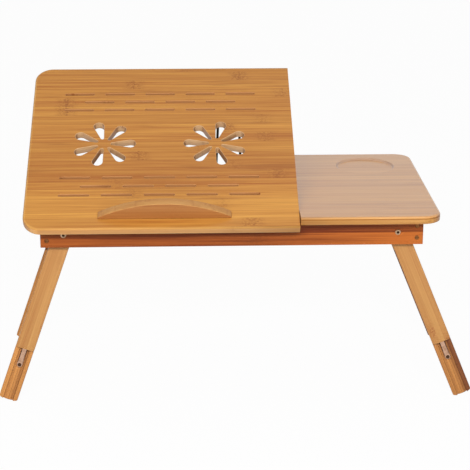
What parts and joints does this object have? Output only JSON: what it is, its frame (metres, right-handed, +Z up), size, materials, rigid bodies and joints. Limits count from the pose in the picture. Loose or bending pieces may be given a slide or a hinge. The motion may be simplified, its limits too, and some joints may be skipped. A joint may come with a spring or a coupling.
{
  "type": "laptop stand",
  "caption": "Low bamboo bed desk: a vented board on a wire prop tilts beside a fixed side board with a cup recess, over a drawer and folding splayed legs whose feet slide.",
  "frame": {"origin": "On the floor under the middle of the outer box of the stand, in its open pose.", "axes": "+X runs along the stand from the tilting board to the fixed board, +Y runs from the front edge where the ledge is to the back, +Z is up."},
  "size_m": [0.711, 0.3514, 0.4527],
  "materials": {
    "board_bamboo": "satin",
    "rail_bamboo": "satin",
    "leg_bamboo": "satin",
    "drawer_bamboo": "satin",
    "bright_steel": "satin",
    "dark_steel": "satin",
    "brass": "satin",
    "black_wire": "gloss"
  },
  "bodies": {
    "frame": {"front_rail": "rail_bamboo", "back_rail": "rail_bamboo", "left_end_rail": "rail_bamboo", "right_end_rail": "rail_bamboo", "front_inner_rail": "rail_bamboo", "back_inner_rail": "rail_bamboo", "mid_rail": "rail_bamboo", "rack_base": "rail_bamboo", "rack_strip_1": "rail_bamboo", "rack_strip_2": "rail_bamboo", "rack_strip_3": "rail_bamboo", "fixed_board": "board_bamboo", "front_left_lower_screw": "dark_steel", "front_left_upper_screw": "dark_steel", "front_right_lower_screw": "dark_steel", "front_right_upper_screw": "dark_steel", "back_left_lower_screw": "dark_steel", "back_left_upper_screw": "dark_steel", "back_right_lower_screw": "dark_steel", "back_right_upper_screw": "dark_steel", "front_left_pivot_bolt": "bright_steel", "front_right_pivot_bolt": "bright_steel", "back_left_pivot_bolt": "bright_steel", "back_right_pivot_bolt": "bright_steel", "left_hinge_fixed_leaf": "brass", "right_hinge_fixed_leaf": "brass", "left_hinge_pin": "bright_steel", "right_hinge_pin": "bright_steel", "front_drawer_runner": "rail_bamboo", "back_drawer_runner": "rail_bamboo"},
    "board": {"tilting_board": "board_bamboo", "ledge_stop": "board_bamboo", "left_hinge_moving_leaf": "brass", "right_hinge_moving_leaf": "brass", "left_prop_clip": "bright_steel", "right_prop_clip": "bright_steel"},
    "prop": {"wire_prop": "black_wire"},
    "drawer": {"drawer_front": "drawer_bamboo", "drawer_front_side": "drawer_bamboo", "drawer_back_side": "drawer_bamboo", "drawer_back": "drawer_bamboo", "drawer_bottom": "drawer_bamboo", "drawer_knob": "drawer_bamboo"},
    "front_left_upper": {"front_left_upper_leg": "leg_bamboo", "front_left_slide_key": "bright_steel", "front_left_lock_screw": "dark_steel"},
    "front_left_lower": {"front_left_lower_leg": "leg_bamboo"},
    "front_right_upper": {"front_right_upper_leg": "leg_bamboo", "front_right_slide_key": "bright_steel", "front_right_lock_screw": "dark_steel"},
    "front_right_lower": {"front_right_lower_leg": "leg_bamboo"},
    "back_left_upper": {"back_left_upper_leg": "leg_bamboo", "back_left_slide_key": "bright_steel", "back_left_lock_screw": "dark_steel"},
    "back_left_lower": {"back_left_lower_leg": "leg_bamboo"},
    "back_right_upper": {"back_right_upper_leg": "leg_bamboo", "back_right_slide_key": "bright_steel", "back_right_lock_screw": "dark_steel"},
    "back_right_lower": {"back_right_lower_leg": "leg_bamboo"}
  },
  "joints": [
    {"name": "board_tilt", "type": "hinge", "parent": "frame", "child": "board", "pos_m": [-0.00623, -0.14931, 0.28765], "axis": [1, 0, 0], "range_deg": [-28.7, 0]},
    {"name": "prop_swing", "type": "hinge", "parent": "board", "child": "prop", "pos_m": [-0.00623, 0.03769, 0.38547], "axis": [1, 0, 0], "range_deg": [-65.6, 0]},
    {"name": "drawer_slide", "type": "slide", "parent": "frame", "child": "drawer", "axis": [1, 0, 0], "range_m": [0, 0.13]},
    {"name": "front_left_fold", "type": "hinge", "parent": "frame", "child": "front_left_upper", "pos_m": [-0.24933, 0.00069, 0.26835], "axis": [0, -1, 0], "range_deg": [0, 109.4]},
    {"name": "front_left_slide", "type": "slide", "parent": "front_left_upper", "child": "front_left_lower", "axis": [0.3339, 0, 0.9426], "range_m": [0, 0.055]},
    {"name": "front_right_fold", "type": "hinge", "parent": "frame", "child": "front_right_upper", "pos_m": [0.23347, 0.00069, 0.26835], "axis": [0, 1, 0], "range_deg": [0, 112.5]},
    {"name": "front_right_slide", "type": "slide", "parent": "front_right_upper", "child": "front_right_lower", "axis": [-0.3843, 0, 0.9232], "range_m": [0, 0.055]},
    {"name": "back_left_fold", "type": "hinge", "parent": "frame", "child": "back_left_upper", "pos_m": [-0.24933, 0.00069, 0.26835], "axis": [0, -1, 0], "range_deg": [0, 109.4]},
    {"name": "back_left_slide", "type": "slide", "parent": "back_left_upper", "child": "back_left_lower", "axis": [0.3339, 0, 0.9426], "range_m": [0, 0.055]},
    {"name": "back_right_fold", "type": "hinge", "parent": "frame", "child": "back_right_upper", "pos_m": [0.23347, 0.00069, 0.26835], "axis": [0, 1, 0], "range_deg": [0, 112.5]},
    {"name": "back_right_slide", "type": "slide", "parent": "back_right_upper", "child": "back_right_lower", "axis": [-0.3843, 0, 0.9232], "range_m": [0, 0.055]}
  ],
  "couplings": [
    {"joint": "prop_swing", "follows": "board_tilt", "ratio": 2.2824}
  ]
}
